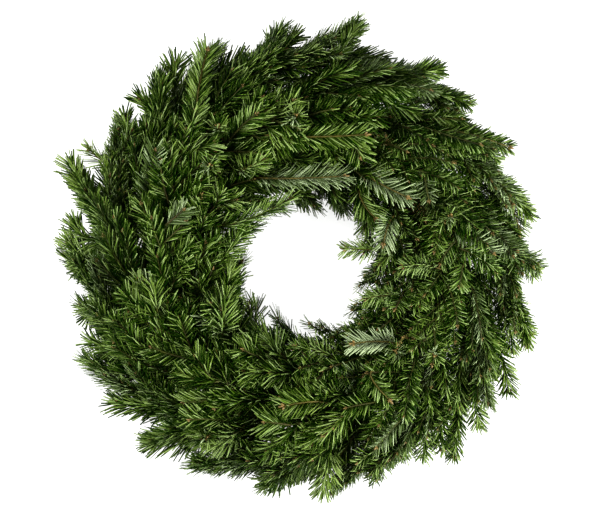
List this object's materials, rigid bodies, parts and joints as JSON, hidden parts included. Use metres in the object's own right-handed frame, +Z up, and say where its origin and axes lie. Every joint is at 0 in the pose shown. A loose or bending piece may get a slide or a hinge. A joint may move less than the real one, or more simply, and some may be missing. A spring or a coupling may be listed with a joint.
{
  "type": "fresh evergreen wreath",
  "caption": "Round door or table wreath of fresh fir sprigs bound on a flat-backed straw ring with green wire, lying on its back with an open centre.",
  "frame": {"origin": "on the resting surface, under the middle of the wreath's outline", "axes": "+Z up, out of the wreath's face; +Y towards the wreath's top as it hangs on a door; the sprigs' tips run clockwise seen from +Z"},
  "size_m": [0.5168, 0.5074, 0.1153],
  "materials": {
    "straw": "dry cereal straw, rough, bound with thread",
    "green_wire": "thin annealed steel wire with green lacquer, satin",
    "fir": "fresh fir: waxy dark green needles, pale undersides, tan shoots"
  },
  "bodies": {
    "root": {"straw_ring": "straw", "binding_wire": "green_wire", "outer_sprig_01": "fir", "outer_sprig_02": "fir", "outer_sprig_03": "fir", "outer_sprig_04": "fir", "outer_sprig_05": "fir", "outer_sprig_06": "fir", "outer_sprig_07": "fir", "outer_sprig_08": "fir", "outer_sprig_09": "fir", "outer_sprig_10": "fir", "outer_sprig_11": "fir", "front_outer_sprig_01": "fir", "front_outer_sprig_02": "fir", "front_outer_sprig_03": "fir", "front_outer_sprig_04": "fir", "front_outer_sprig_05": "fir", "front_outer_sprig_06": "fir", "front_outer_sprig_07": "fir", "front_outer_sprig_08": "fir", "front_outer_sprig_09": "fir", "front_outer_sprig_10": "fir", "front_outer_sprig_11": "fir", "crown_sprig_01": "fir", "crown_sprig_02": "fir", "crown_sprig_03": "fir", "crown_sprig_04": "fir", "crown_sprig_05": "fir", "crown_sprig_06": "fir", "crown_sprig_07": "fir", "crown_sprig_08": "fir", "crown_sprig_09": "fir", "crown_sprig_10": "fir", "crown_sprig_11": "fir", "front_inner_sprig_01": "fir", "front_inner_sprig_02": "fir", "front_inner_sprig_03": "fir", "front_inner_sprig_04": "fir", "front_inner_sprig_05": "fir", "front_inner_sprig_06": "fir", "front_inner_sprig_07": "fir", "front_inner_sprig_08": "fir", "front_inner_sprig_09": "fir", "front_inner_sprig_10": "fir", "front_inner_sprig_11": "fir", "inner_sprig_01": "fir", "inner_sprig_02": "fir", "inner_sprig_03": "fir", "inner_sprig_04": "fir", "inner_sprig_05": "fir", "inner_sprig_06": "fir", "inner_sprig_07": "fir", "inner_sprig_08": "fir", "inner_sprig_09": "fir", "inner_sprig_10": "fir", "inner_sprig_11": "fir"}
  },
  "joints": []
}
